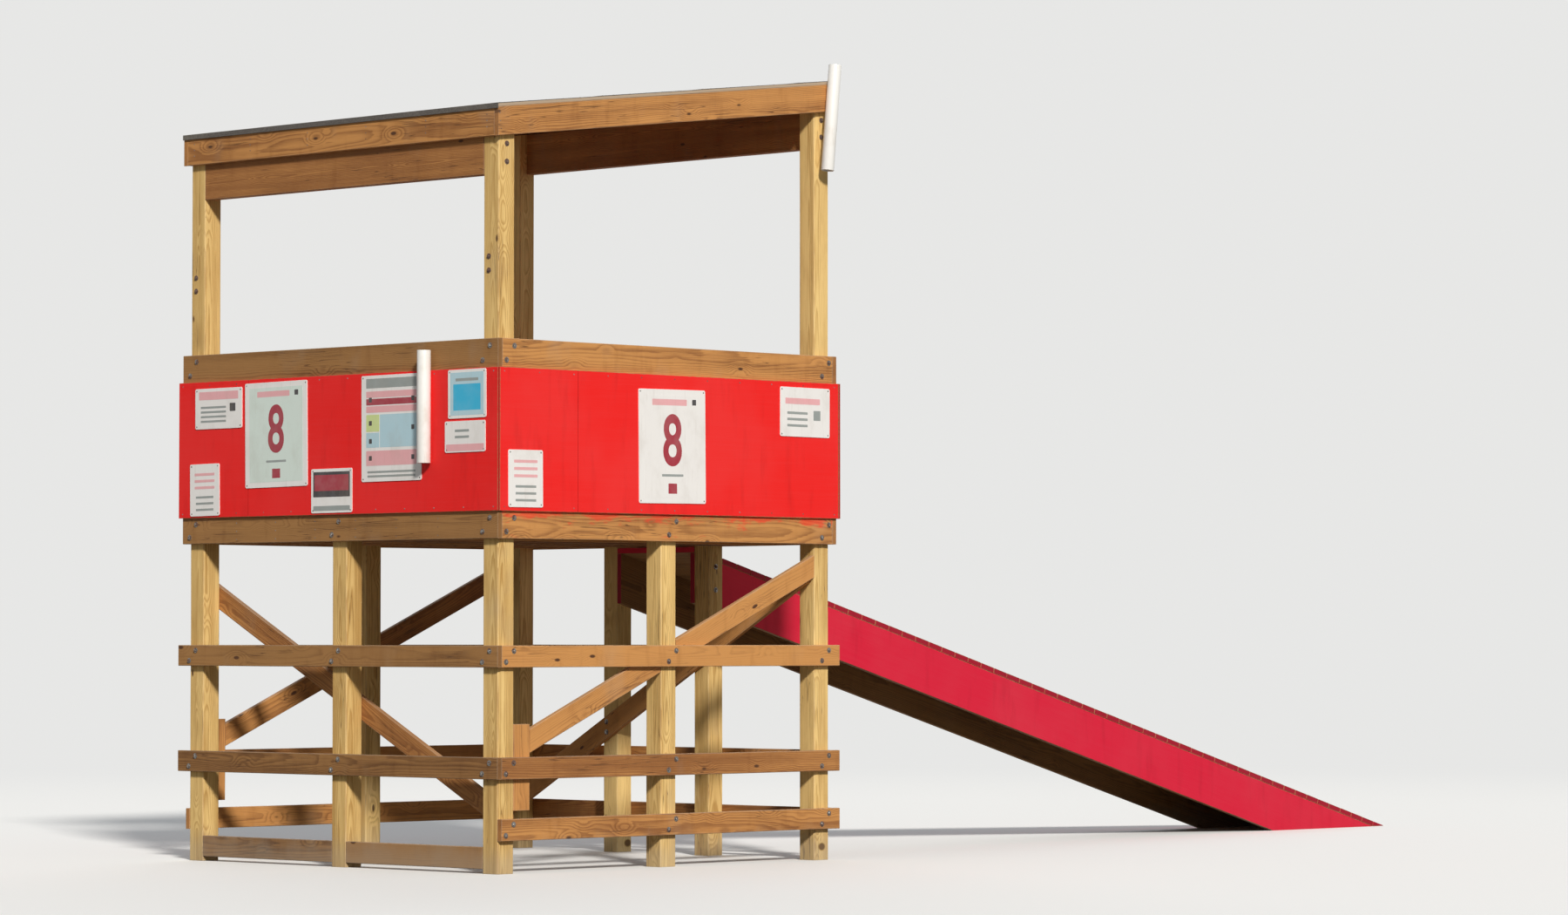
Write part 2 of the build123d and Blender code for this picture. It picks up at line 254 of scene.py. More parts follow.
class Wiring:
    """Adds nodes to one material or effect and joins them."""

    def __init__(self, tree):
        self.tree = tree

    def fill(self, made, sources):
        """Feed a node's inputs, in order or by name, with values, numbers and colours."""
        pairs = sources.items() if isinstance(sources, dict) else enumerate(sources)
        for place, source in pairs:
            socket = made.inputs[place]
            if isinstance(source, Value):
                self.tree.links.new(source.socket, socket)
            elif socket.type == "RGBA":
                socket.default_value = (*source, 1.0)
            elif socket.type == "VECTOR" and isinstance(source, (int, float)):
                socket.default_value = (source,) * 3
            else:
                socket.default_value = source

    def node(self, kind, sources=(), output=0, **settings):
        """Add a node with these settings, feed its inputs and give one of its outputs."""
        made = self.tree.nodes.new(kind)
        for name, value in settings.items():
            setattr(made, name, value)
        self.fill(made, sources)
        return Value(self, made, output)

    def math(self, operation, *terms, clamp=False):
        return self.node("ShaderNodeMath", terms, operation=operation, use_clamp=clamp)

    def fold(self, operation, values):
        return reduce(lambda one, other: self.math(operation, one, other), values)

    def vector(self, operation, *terms):
        output = "Value" if operation in ("LENGTH", "DOT_PRODUCT") else "Vector"
        return self.node("ShaderNodeVectorMath", terms, output, operation=operation)

    def split(self, place):
        parts = self.node("ShaderNodeSeparateXYZ", [place])
        return [parts[axis] for axis in range(3)]

    def noise(self, place, repeats, detail=2.0, rough=0.5):
        """Noise that repeats about so many times a metre, the same all ways or along each axis."""
        sources = {"Vector": place * repeats, "Scale": 1.0, "Detail": detail, "Roughness": rough}
        return self.node("ShaderNodeTexNoise", sources)

    def band(self, value, low, high, start=0.0, end=1.0):
        """Runs smoothly from start to end while the value runs from low to high."""
        sources = (value, low, high, start, end)
        return self.node("ShaderNodeMapRange", sources, interpolation_type="SMOOTHSTEP")

    def blend(self, amount, first, second, mode="MIX"):
        sources = {0: amount, 6: first, 7: second}
        return self.node("ShaderNodeMix", sources, 2, data_type="RGBA", blend_type=mode)

    def attribute(self, name):
        return self.node("ShaderNodeAttribute", output="Vector", attribute_name=name)

    def object_place(self):
        return self.node("ShaderNodeTexCoord", output="Object")

    def bump(self, height, strength, distance):
        return self.node("ShaderNodeBump", {"Strength": strength, "Distance": distance, "Height": height})

    def effect(self, make, **sources):
        """One shared effect with this material's own values."""
        titled = {title(name): source for name, source in sources.items()}
        return self.node("ShaderNodeGroup", titled, node_tree=make())


NUMBER, PLACE, COLOUR = "NodeSocketFloat", "NodeSocketVector", "NodeSocketColor"
KINDS = {"VALUE": NUMBER, "VECTOR": PLACE, "RGBA": COLOUR}


def title(name):
    return name.replace("_", " ").title()


def shared_effect(build):
    """Gives a function that makes the node group once. Its inputs are those that build takes."""
    def effect_tree():
        name = build.__name__.replace("_", " ")
        tree = bpy.data.node_groups.get(name)
        if tree is None:
            tree = bpy.data.node_groups.new(name, "ShaderNodeTree")
            for socket, kind in build.__annotations__.items():
                tree.interface.new_socket(name=title(socket), in_out="INPUT", socket_type=kind)
            w = Wiring(tree)
            given = tree.nodes.new("NodeGroupInput")
            gives = build(w, *[Value(w, given, title(socket)) for socket in build.__annotations__])
            for socket, source in gives.items():
                kind = KINDS[source.socket.type]
                tree.interface.new_socket(name=socket, in_out="OUTPUT", socket_type=kind)
            w.fill(tree.nodes.new("NodeGroupOutput"), gives)
        return tree
    return effect_tree


# Effects that several materials share

@shared_effect
def board_place(w):
    """Where a point lies in its own board: its place, its distance to an edge, end grain and upper faces."""
    place = w.attribute("grain_place")
    room = w.split(w.attribute("half_size") - abs(place))
    normal = w.node("ShaderNodeNewGeometry", output="Normal")
    facing_end = abs(w.vector("DOT_PRODUCT", normal, w.attribute("grain_axis")))
    return {
        "Place": place,
        "Seed": w.attribute("board_seed"),
        "Edge": w.fold("ADD", room) - w.fold("MINIMUM", room) - w.fold("MAXIMUM", room),
        "End": w.band(facing_end, 0.55, 0.8),
        "Up": w.band(w.split(normal)[2], 0.3, 0.95),
    }


@shared_effect
def timber_grain(
    w, place: PLACE, seed: PLACE, end: NUMBER, pale: COLOUR, dark: COLOUR, knot_colour: COLOUR,
    ring_pitch: NUMBER, pith_depth: NUMBER, knots: NUMBER, tone_spread: NUMBER,
):
    """Growth rings, fibres, knots and checks, solid through the board, so that ends show end grain."""
    own = w.split(seed)
    shifted = place + seed * 41.0
    drift = w.noise(shifted, (0.9, 5, 5), 1.0)[1] - 0.5
    pith = w.node("ShaderNodeCombineXYZ", (0.0, (own[0] - 0.5) * pith_depth, (own[1] - 1.15) * pith_depth))
    radius = w.vector("LENGTH", (place + drift * 0.05 - pith) * (0, 1, 1))
    taper = w.split(place)[0] * (own[2] * 0.014)
    to_knot = w.node("ShaderNodeTexVoronoi", {"Vector": shifted * (2.9, 6.8, 2.4), "Scale": 1.0}, "Distance")
    knot = w.band(to_knot, 0.055, 0.10, 1.0, 0.0) * knots
    rings = (radius + taper) / ring_pitch + w.band(to_knot, 0.06, 0.42, 2.6, 0.0)
    turn = w.math("FRACT", rings + w.noise(shifted, (7, 120, 120)) * 0.5)
    late = w.band(turn, 0.25, 0.86) * w.band(turn, 0.88, 1.0, 1.0, 0.0)

    fibre = w.noise(shifted, (10, 300, 300))
    streak = w.noise(shifted, (0.55, 17, 17), 3.0)
    patch = w.noise(shifted, (1.3, 4, 4))
    amount = late * 0.42 + (streak - 0.45) * 1.15 + (patch - 0.5) * 0.7 + (fibre - 0.5) * 0.5
    amount += (own[2] - 0.35) * tone_spread
    wood = w.blend(w.band(amount, -0.1, 1.0), pale, dark)
    wood = w.blend(knot, wood, knot_colour)
    split = w.band(abs(w.noise(shifted, (1.1, 48, 48), 1.0) - 0.5), 0.004, 0.016, 1.0, 0.0)
    split *= w.band(patch, 0.48, 0.62)
    wood = w.blend(split * 0.7, wood, knot_colour)
    wood = w.blend(end * 0.45, wood, dark)
    return {"Colour": wood, "Height": late * 0.35 + fibre * 0.5 - split * 1.6, "Knot": knot}


@shared_effect
def weathering(w, base: COLOUR, bleached: COLOUR, up: NUMBER, edge: NUMBER, knot: NUMBER, amount: NUMBER):
    """Bleached upper faces and arrises, run-off streaks and a scoured, paler foot."""
    here = w.object_place()
    patch = w.noise(here, (1.7, 1.7, 1.1), 3.0, 0.6)
    bleach = up * w.band(patch, 0.3, 0.62, 0.35, 1.0)
    bleach = w.math("MAXIMUM", bleach, w.band(patch, 0.56, 0.72, 0.0, 0.5))
    wood = w.blend(bleach * amount, base, bleached)
    worn = w.band(edge - w.noise(here, (60, 60, 14)) * 0.009, -0.002, 0.004, 0.5, 0.0)
    wood = w.blend(worn * amount, wood, bleached)
    run = w.band(w.noise(here, (12, 12, 3.2), 3.0), 0.5, 0.85) * (1.0 - up)
    wood = w.blend(run * 0.45, wood, (0.62, 0.52, 0.42), "MULTIPLY")
    ground = w.split(here)[2] + w.noise(here, (9, 9, 5), 3.0) * 0.22
    foot = w.math("SUBTRACT", w.band(ground, 0.14, 0.36, 0.35, 0.0), knot, clamp=True)
    wood = w.blend(foot, wood, bleached)
    dust = w.band(w.noise(here, 420, 1.0), 0.55, 0.8, 0.0, 0.18)
    return {"Colour": w.blend(dust, wood, bleached), "Roughness": w.band(patch, 0.3, 0.7, 0.68, 0.86)}


@shared_effect
def paint_film(
    w, place: PLACE, seed: PLACE, up: NUMBER, edge: NUMBER, end: NUMBER, paint: COLOUR, faded: COLOUR,
    bare: COLOUR, wear: NUMBER, tread: NUMBER,
):
    """Brushed paint with faded patches, run-off, chipped arrises and wear where feet pass."""
    here = w.object_place()
    shifted = place + seed * 23.0
    patch = w.noise(here, 1.3, 3.0, 0.55)
    film = w.blend(w.band(patch, 0.35, 0.7, 0.0, 0.3), paint, faded)
    brush = w.noise(shifted, (3.0, 150, 150))
    film = w.blend(w.band(brush, 0.35, 0.7, 0.0, 0.12), film, faded)
    run = w.band(w.noise(here, (13, 13, 2.4), 3.0), 0.5, 0.85) * (1.0 - up)
    film = w.blend(run * 0.3, film, (0.55, 0.45, 0.42), "MULTIPLY")
    film = w.blend(w.split(seed)[2] * 0.22, film, (0.72, 0.68, 0.70), "MULTIPLY")
    film = w.blend(end * 0.8, film, (0.36, 0.34, 0.38), "MULTIPLY")

    spots = w.noise(shifted, (26, 80, 80), 4.0, 0.65)
    chipped = w.band(edge - wear * 0.03 * w.math("POWER", spots, 2.0), -0.0006, 0.0008, 1.0, 0.0)
    loose = w.band(spots - (0.80 - wear * 0.12), -0.02, 0.02)
    walked = w.band(abs(w.split(place)[0]), 0.06, 0.34, 1.0, 0.0) * (up * tread)
    scuffed = w.band(w.noise(shifted, (14, 30, 30), 4.0, 0.7) + walked * 0.27, 0.74, 0.84)
    worn = w.fold("MAXIMUM", (chipped, loose, scuffed))
    film = w.blend(worn, film, bare)
    dust = w.band(w.noise(here, 380, 1.0), 0.5, 0.85, 0.0, 0.12)
    gloss = w.band(patch, 0.3, 0.7, 0.56, 0.72) + worn * 0.2
    return {"Colour": w.blend(dust, film, faded), "Height": brush * 0.5 - worn * 0.9, "Roughness": gloss}


@shared_effect
def grime(w, base: COLOUR, dirt: COLOUR, amount: NUMBER):
    """Dust in patches and thin streaks that run down, for smooth fittings and plates."""
    here = w.object_place()
    patch = w.band(w.noise(here, (7, 7, 5), 4.0, 0.6), 0.45, 0.75, 0.0, 0.5)
    run = w.band(w.noise(here, (95, 95, 4), 3.0, 0.6), 0.58, 0.75, 0.0, 0.45)
    mask = (patch + run) * amount
    return {"Colour": w.blend(mask, base, dirt), "Mask": mask}


# Materials. Each surface function gives what it feeds to the shader.

def material(name, surface, *values):
    """The material of this name, wired by its surface function the first time."""
    made = bpy.data.materials.get(name)
    if made is None:
        made = bpy.data.materials.new(name)
        made.use_nodes = True
        w = Wiring(made.node_tree)
        w.fill(made.node_tree.nodes["Principled BSDF"], surface(w, *values))
    return made


def grained(w, at, pale, dark, pith_depth, knots, tone_spread):
    timber = look().timber
    return w.effect(
        timber_grain, place=at["Place"], seed=at["Seed"], end=at["End"], pale=pale, dark=dark, knots=knots,
        knot_colour=timber.knot, ring_pitch=timber.ring_pitch, pith_depth=pith_depth, tone_spread=tone_spread,
    )


def smears(w, base):
    """Paint that ran from the guard panel on to the board under it."""
    here = w.object_place()
    lower_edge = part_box("panel_right")[0].z
    near = w.band(w.split(here)[2], lower_edge - 0.11, lower_edge, 0.0, 0.22)
    ragged = w.noise(here, (5, 5, 17), 4.0, 0.62)
    return w.blend(w.band(ragged + near, 0.60, 0.78, 0.0, 0.6), base, look().paint.panel)


# Each timber: its pair of colours, depth of the pith, strength of the knots, spread of tone, weathering
TIMBERS = {
    "post timber": ("post", 0.05, 0.9, 0.55, 0.45),
    "frame timber": ("board", 0.22, 1.0, 0.8, 0.35),
    "smeared timber": ("board", 0.22, 1.0, 0.8, 0.35),
    "aged timber": ("aged", 0.22, 1.0, 0.7, 0.3),
    "deck timber": ("deck", 0.2, 1.0, 0.8, 0.7),
    "bare timber": ("aged", 0.22, 1.0, 0.6, 0.1),
    "plywood": ("ply", 1.6, 0.3, 0.3, 0.2),
}


def timber_surface(w, name):
    pair, *grain, weather = TIMBERS[name]
    timber = look().timber
    at = w.effect(board_place)
    wood = grained(w, at, getattr(timber, pair + "_pale"), getattr(timber, pair + "_dark"), *grain)
    aged = w.effect(
        weathering, base=wood["Colour"], bleached=timber.weathered, up=at["Up"], edge=at["Edge"],
        knot=wood["Knot"], amount=weather,
    )
    return {
        "Base Color": smears(w, aged["Colour"]) if name == "smeared timber" else aged["Colour"],
        "Roughness": aged["Roughness"],
        "Normal": w.bump(wood["Height"], 0.55, 0.0011),
        "Specular IOR Level": 0.3,
    }


def timber_material(name):
    return material(name, timber_surface, name)


def paint_surface(w, paint, wear, tread):
    at = w.effect(board_place)
    wood = grained(w, at, look().paint.primer, look().timber.deck_dark, 0.3, 0.6, 0.4)
    film = w.effect(
        paint_film, place=at["Place"], seed=at["Seed"], up=at["Up"], edge=at["Edge"], end=at["End"],
        paint=paint, faded=[0.93 * part + 0.05 for part in paint], bare=wood["Colour"], wear=wear,
        tread=tread,
    )
    return {
        "Base Color": film["Colour"],
        "Roughness": film["Roughness"],
        "Normal": w.bump(film["Height"] + wood["Height"] * 0.35, 0.5, 0.0008),
        "Specular IOR Level": 0.2,
    }


def ramp_paint(name, tread):
    return material(name, paint_surface, look().paint.ramp, look().paint.ramp_wear, tread)


def felt_surface(w):
    roof = look().roof
    here = w.object_place()
    grains = w.noise(here, 620, 1.0)
    patch = w.noise(here, (2.6, 1.4, 2.6), 5.0, 0.65)
    base = w.blend(w.band(grains, 0.48, 0.66, 0.0, 0.85), roof.felt, roof.felt_speck)
    return {
        "Base Color": w.blend(w.band(patch, 0.45, 0.8, 0.0, 0.22), base, look().timber.weathered),
        "Roughness": w.band(grains, 0.3, 0.7, 0.82, 0.95),
        "Normal": w.bump(grains, 0.6, 0.0012),
    }


def pipe_surface(w):
    soiled = w.effect(grime, base=look().tubes.white, dirt=(0.42, 0.33, 0.2), amount=0.5)
    scratches = w.noise(w.object_place(), (160, 160, 9), 3.0, 0.6)
    return {
        "Base Color": soiled["Colour"],
        "Roughness": soiled["Mask"] * 0.4 + 0.34,
        "Normal": w.bump(scratches, 0.2, 0.0004),
    }


def steel_surface(w, least_rust):
    fixings = look().fixings
    here = w.object_place()
    spangle = w.noise(here, 170, 3.0, 0.6)
    rusty = w.band(w.noise(here, 38, 4.0, 0.65), 0.44, 0.6, least_rust, 1.0)
    metal = w.blend(w.band(spangle, 0.35, 0.65, 0.0, 0.35), fixings.steel, (0.45, 0.45, 0.44))
    return {
        "Base Color": w.blend(rusty * 0.85, metal, fixings.rust),
        "Metallic": 0.85 - rusty * 0.75,
        "Roughness": rusty * 0.4 + 0.42,
        "Normal": w.bump(spangle, 0.35, 0.0004),
    }


def galvanised_steel():
    return material("galvanised steel", steel_surface, 0.0)


def print_surface(w, ink):
    """Enamel or print on a plate: slightly uneven, faded and soiled."""
    here = w.object_place()
    fade = w.band(w.noise(here, 9, 3.0, 0.55), 0.4, 0.7, 0.0, 0.35)
    base = w.blend(fade, ink, [0.85 * part + 0.12 for part in ink])
    soiled = w.effect(grime, base=base, dirt=(0.34, 0.27, 0.2), amount=0.3)
    return {
        "Base Color": soiled["Colour"],
        "Roughness": soiled["Mask"] * 0.5 + 0.32,
        "Normal": w.bump(w.noise(here, 240), 0.08, 0.0003),
    }


# Mesh work. Angles are in degrees.

MERGE = 0.00001
SHARP = 20
BOARD_SMOOTHING = 8
PIPE_SMOOTHING = 40
PIPE_SHARP = 60
PIPE_SIDES = 48


def sign(value):
    return 1 if value > 0 else -1


def merge(mesh):
    bmesh.ops.remove_doubles(mesh, verts=mesh.verts, dist=MERGE)


def edges_over(mesh, angle):
    """The edges that turn more than an angle."""
    return [edge for edge in mesh.edges if edge.calc_face_angle(0) > radians(angle)]


def round_edges(mesh, edges, radius, segments):
    bmesh.ops.bevel(
        mesh, geom=edges, offset=radius, offset_type="OFFSET", segments=segments, profile=0.5,
        affect="EDGES", clamp_overlap=True, material=-1,
    )


def cut(mesh, place, across):
    """Cut every face that crosses a plane, and keep both sides."""
    geometry = mesh.verts[:] + mesh.edges[:] + mesh.faces[:]
    bmesh.ops.bisect_plane(mesh, geom=geometry, dist=MERGE, plane_co=place, plane_no=across)


def smooth_below(mesh, angle):
    """Smooth shading across every edge that turns less than an angle."""
    for face in mesh.faces:
        face.smooth = True
    for edge in mesh.edges:
        edge.smooth = edge.calc_face_angle(0) < radians(angle)


def linked(name, data):
    """A new object in the scene."""
    made = bpy.data.objects.new(name, data)
    bpy.context.scene.collection.objects.link(made)
    return made


def mesh_object(name, mesh, materials):
    data = bpy.data.meshes.new(name)
    mesh.to_mesh(data)
    mesh.free()
    for item in materials:
        data.materials.append(item)
    return linked(name, data)


def finished(name, mesh, materials, nodes=()):
    """Turn a bmesh into a piece that rides on the tower and stands for its nodes."""
    piece = mesh_object(name, mesh, materials)
    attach(piece, ROOT)
    if nodes:
        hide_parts(*nodes)


def dressed(node, mesh, materials):
    finished(node + ".finished", mesh, materials, [node])


def clean_copy(node):
    """The node's solids as clean faces."""
    mesh = bmesh.new()
    mesh.from_mesh(frame["nodes"][node].data)
    merge(mesh)
    bmesh.ops.dissolve_limit(mesh, angle_limit=radians(0.5), verts=mesh.verts, edges=mesh.edges)
    for sequence in (mesh.verts, mesh.edges, mesh.faces):
        sequence.index_update()
        sequence.ensure_lookup_table()
    return mesh


def middle_of(node):
    low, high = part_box(node)
    return (low + high) / 2


def tower_middle():
    return middle_of("roof_sheet") * Vector((1, 1, 0))


# Boards

def separate_boards(mesh):
    """Groups of connected faces, one for each solid."""
    groups, seen = [], set()
    for first in mesh.faces:
        if first.index in seen:
            continue
        seen.add(first.index)
        faces, waiting = [], [first]
        while waiting:
            face = waiting.pop()
            faces.append(face)
            for other in [other for edge in face.edges for other in edge.link_faces]:
                if other.index not in seen:
                    seen.add(other.index)
                    waiting.append(other)
        groups.append(sorted(faces, key=lambda face: face.index))
    return groups


def positive(direction):
    """The same line, pointing the positive way."""
    return direction * next(sign(part) for part in direction if abs(part) > 0.01)


class Board:
    """A solid's own directions, middle and half sizes: along, across and through."""

    def __init__(self, faces):
        edges = {edge for face in faces for edge in face.edges}
        longest = max(edges, key=lambda edge: (round(edge.calc_length(), 5), edge.index))
        self.along = positive((longest.verts[1].co - longest.verts[0].co).normalized())
        sides = [face for face in faces if abs(face.normal.dot(self.along)) < 0.5]
        widest = max(sides, key=lambda face: (round(face.calc_area(), 7), face.index))
        through = widest.normal - self.along * widest.normal.dot(self.along)
        self.through = positive(through.normalized())
        self.across = self.through.cross(self.along)
        axes = (self.along, self.across, self.through)
        spans = [[vert.co.dot(axis) for face in faces for vert in face.verts] for axis in axes]
        self.half = Vector([(max(span) - min(span)) / 2 for span in spans])
        self.middle = sum((axis * (max(span) + min(span)) / 2 for axis, span in zip(axes, spans)), Vector())

    def at(self, along=0.0, across=0.0, through=0.0):
        return self.middle + self.along * along + self.across * across + self.through * through

    def on_face(self, outward, along=0.0, across=0.0):
        """A place on the broad face that looks outward."""
        return self.at(along, across, self.half.z * sign(outward.dot(self.through)))


def boards_of(node):
    mesh = clean_copy(node)
    boards = [Board(faces) for faces in separate_boards(mesh)]
    mesh.free()
    return boards


GRAIN_LAYERS = ("grain_place", "half_size", "grain_axis", "board_seed", "middle", "through")
SEED_SPREAD = 50
WAVER_SEED = 1
WAVER_REPEATS = 1.6
POST_ROUNDING = 1.6


def weathered_boards(node, rounding_scale=1.0):
    """The node's boards with rounded cut edges, slightly wavering faces and their own grain coordinates."""
    timber = look().timber
    dice = Random(node)
    mesh = clean_copy(node)
    layers = mesh.verts.layers.float_vector
    for name in GRAIN_LAYERS:
        layers.new(name)
    kept = {name: layers.get(name) for name in GRAIN_LAYERS}
    groups = separate_boards(mesh)
    boards = [Board(faces) for faces in groups]
    for board, faces in zip(boards, groups):
        values = {
            "board_seed": (dice.random(), dice.random(), dice.random()), "half_size": board.half,
            "grain_axis": board.along, "through": board.through, "middle": board.middle,
        }
        for vert in {vert for face in faces for vert in face.verts}:
            for name, value in values.items():
                vert[kept[name]] = value

    along = boards[0].along
    reach = [vert.co.dot(along) for vert in mesh.verts]
    start, size = min(reach), max(reach) - min(reach)
    round_edges(mesh, edges_over(mesh, SHARP), timber.rounding * rounding_scale, 2)
    cuts = int(size / timber.cut_pitch)
    for step in range(1, cuts):
        cut(mesh, along * (start + size * step / cuts), along)
    noise.seed_set(WAVER_SEED)
    for vert in mesh.verts:
        place = vert.co * WAVER_REPEATS + vert[kept["board_seed"]] * SEED_SPREAD
        moved = vert.co + noise.noise_vector(place) * timber.waver
        vert.co = [min(max(part, low), high) for part, low, high in zip(moved, *CAD_BOX)]
        axis, through = vert[kept["grain_axis"]], vert[kept["through"]]
        offset = vert.co - vert[kept["middle"]]
        vert[kept["grain_place"]] = [offset.dot(line) for line in (axis, through.cross(axis), through)]
    layers.remove(layers.get("middle"))
    layers.remove(layers.get("through"))
    smooth_below(mesh, BOARD_SMOOTHING)
    return mesh


def dress(nodes, timber, rounding_scale=1.0):
    for node in nodes:
        dressed(node, weathered_boards(node, rounding_scale), [timber_material(timber)])


def dress_frame(nodes):
    for node in nodes:
        dress([node], ODD_BOARDS.get(node, "frame timber"))


class TOWER_OT_posts(bpy.types.Operator):
    """Dress the posts with boxed-heart grain"""
    bl_idname = "tower.posts"
    bl_label = "Posts"

    def execute(self, context):
        dress(POSTS, "post timber", POST_ROUNDING)
        return {"FINISHED"}


class TOWER_OT_lower_frame(bpy.types.Operator):
    """Dress the rails, braces, cleats, rims and joists"""
    bl_idname = "tower.lower_frame"
    bl_label = "Lower frame"

    def execute(self, context):
        dress_frame(LOWER_FRAME + ["floor_joists"])
        return {"FINISHED"}


class TOWER_OT_deck(bpy.types.Operator):
    """Dress the deck boards"""
    bl_idname = "tower.deck"
    bl_label = "Deck"

    def execute(self, context):
        dress(["deck_planks"], "deck timber")
        return {"FINISHED"}


# Guard panels

def sheeted_panel(node):
    """A guard panel cut into plywood sheets with a narrow gap between them."""
    settings = look().paint
    mesh = weathered_boards(node)
    board = boards_of(node)[0]
    if 2 * board.half.x > settings.sheet_length:
        seam = board.at(board.half.x - settings.sheet_length)
        half_gap = settings.sheet_gap / 2
        for side in (-1, 1):
            cut(mesh, seam + board.along * (side * half_gap), board.along)
        between = [
            face for face in mesh.faces
            if abs((face.calc_center_median() - seam).dot(board.along)) < half_gap
            and abs(face.normal.dot(board.along)) < 0.5
        ]
        bmesh.ops.delete(mesh, geom=between, context="FACES")
        bmesh.ops.holes_fill(mesh, edges=[edge for edge in mesh.edges if edge.is_boundary], sides=0)
        smooth_below(mesh, BOARD_SMOOTHING)
    return mesh


class TOWER_OT_guard(bpy.types.Operator):
    """Dress the red guard panels and the rails over them"""
    bl_idname = "tower.guard"
    bl_label = "Guard"

    def execute(self, context):
        dress_frame(GUARD_RAILS)
        paint = look().paint
        red = material("panel paint", paint_surface, paint.panel, paint.panel_wear, 0.0)
        for node in GUARD_PANELS:
            dressed(node, sheeted_panel(node), [red])
        return {"FINISHED"}


# Roof. The felt lies in courses, each of which starts high on its lap and thins towards the next one.
# A lap drops over LAP_LENGTH. What lies within TOP_DEPTH of the top is dressed, SUNK lower for the ripple.

FELT_BEND = 0.0012
FELT_CUTS = 12
LAP_LENGTH = 0.0015
TOP_DEPTH = 0.002
SUNK = 0.0002
RIPPLE = 0.0004
RIPPLE_REPEATS = (3, 60, 1)


def roof_slope():
    """Rise of the roof for each metre towards the ramp."""
    along = boards_of("barge_boards")[0].along
    return abs(along.z) / abs(along.y)


def roof_top(y):
    """Height of the felt's upper face before it is dressed."""
    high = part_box("roofing")[1]
    return high.z - (high.y - y) * roof_slope()


def felt_laps():
    """Where each upper course of felt ends over the one below it."""
    low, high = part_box("roofing")
    course = look().roof.course
    return [low.y + course * (step + 1) for step in range(int((high.y - low.y) / course))]


def felt_height(y):
    """Height of the dressed felt."""
    low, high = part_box("roofing")
    start = max(place for place in [low.y] + felt_laps() if place <= y + 0.0001)
    end = min(place for place in felt_laps() + [high.y] if place > start)
    return roof_top(y) - look().roof.lap_step * (y - start) / (end - start) - SUNK


def felt_courses():
    """The roofing with its courses of felt, each stepped over the one below."""
    mesh = clean_copy("roofing")
    low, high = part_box("roofing")
    round_edges(mesh, edges_over(mesh, SHARP), FELT_BEND, 2)
    for part in range(1, FELT_CUTS):
        cut(mesh, (low.x + (high.x - low.x) * part / FELT_CUTS, 0, 0), (1, 0, 0))
    for y in felt_laps():
        for place in (y, y - LAP_LENGTH):
            cut(mesh, (0, place, 0), (0, 1, 0))
    for vert in mesh.verts:
        if vert.co.z > roof_top(vert.co.y) - TOP_DEPTH:
            ripple = noise.noise(vert.co * Vector(RIPPLE_REPEATS)) * RIPPLE
            vert.co.z = min(felt_height(vert.co.y) + ripple, vert.co.z)
    return mesh


class TOWER_OT_roof(bpy.types.Operator):
    """Dress the headers, rafters, fascias, barge boards, roof sheet and felt"""
    bl_idname = "tower.roof"
    bl_label = "Roof"

    def execute(self, context):
        dress_frame(ROOF_TIMBER)
        dress(["roof_sheet"], "plywood")
        dressed("roofing", felt_courses(), [material("roofing felt", felt_surface)])
        return {"FINISHED"}


# Ramp

def dress_ramp(node, paint):
    """Paint a part of the ramp where a brush reaches it, and leave its underside and inner faces bare."""
    middle = middle_of("ramp_planks").x
    mesh = weathered_boards(node)
    for face in mesh.faces:
        inwards = face.normal.x * (middle - face.calc_center_median().x)
        if face.normal.z < -0.3 or inwards > 0.1:
            face.material_index = 1
    dressed(node, mesh, [paint, timber_material("bare timber")])


class TOWER_OT_ramp(bpy.types.Operator):
    """Dress the ramp's stringers and boards with worn crimson paint"""
    bl_idname = "tower.ramp"
    bl_label = "Ramp"

    def execute(self, context):
        for node in STRINGERS:
            dress_ramp(node, ramp_paint("ramp paint", 0.0))
        dress_ramp("ramp_planks", ramp_paint("tread paint", 1.0))
        return {"FINISHED"}


# Tubes

def make_pipe(node, foot, axis, reach, outer, wall):
    """A pipe turned about its axis, with rounded cut ends."""
    mesh = bmesh.new()
    corners = ((outer, 0), (outer, reach), (outer - wall, reach), (outer - wall, 0))
    ring = [mesh.verts.new((radius, 0, height)) for radius, height in corners]
    edges = [mesh.edges.new((ring[step - 1], ring[step])) for step in range(len(ring))]
    bmesh.ops.spin(
        mesh, geom=ring + edges, cent=(0, 0, 0), axis=(0, 0, 1), angle=2 * pi, steps=PIPE_SIDES,
        use_merge=True, use_duplicate=False,
    )
    merge(mesh)
    bmesh.ops.recalc_face_normals(mesh, faces=mesh.faces)
    round_edges(mesh, edges_over(mesh, PIPE_SHARP), look().tubes.lip, 3)
    smooth_below(mesh, PIPE_SMOOTHING)
    mesh.transform(facing(foot, axis))
    dressed(node, mesh, [material("white pipe", pipe_surface)])


class TOWER_OT_tubes(bpy.types.Operator):
    """Make the two white pipes"""
    bl_idname = "tower.tubes"
    bl_label = "Tubes"

    def execute(self, context):
        bore = next(item for item in frame["record"]["mounts"] if item["name"] == "corner_tube_bore")
        low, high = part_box("flag_tube_land")
        outer = (high.x - low.x) / 2
        wall = outer - bore["dims"]["r_mm"] / 1000
        foot = middle_of("flag_tube_land")
        foot.z = low.z
        make_pipe("flag_tube_land", foot, Vector((0, 0, 1)), high.z - low.z, outer, wall)
        axis = Vector(bore["axis"]).normalized()
        reach = bore["dims"]["length_mm"] / 1000
        make_pipe("flag_tube_corner", Vector(bore["pos_m"]) - axis * reach / 2, axis, reach, outer, wall)
        return {"FINISHED"}


# Fixings. Insets, drops and lifts are counted from the edges and middles of the boards.

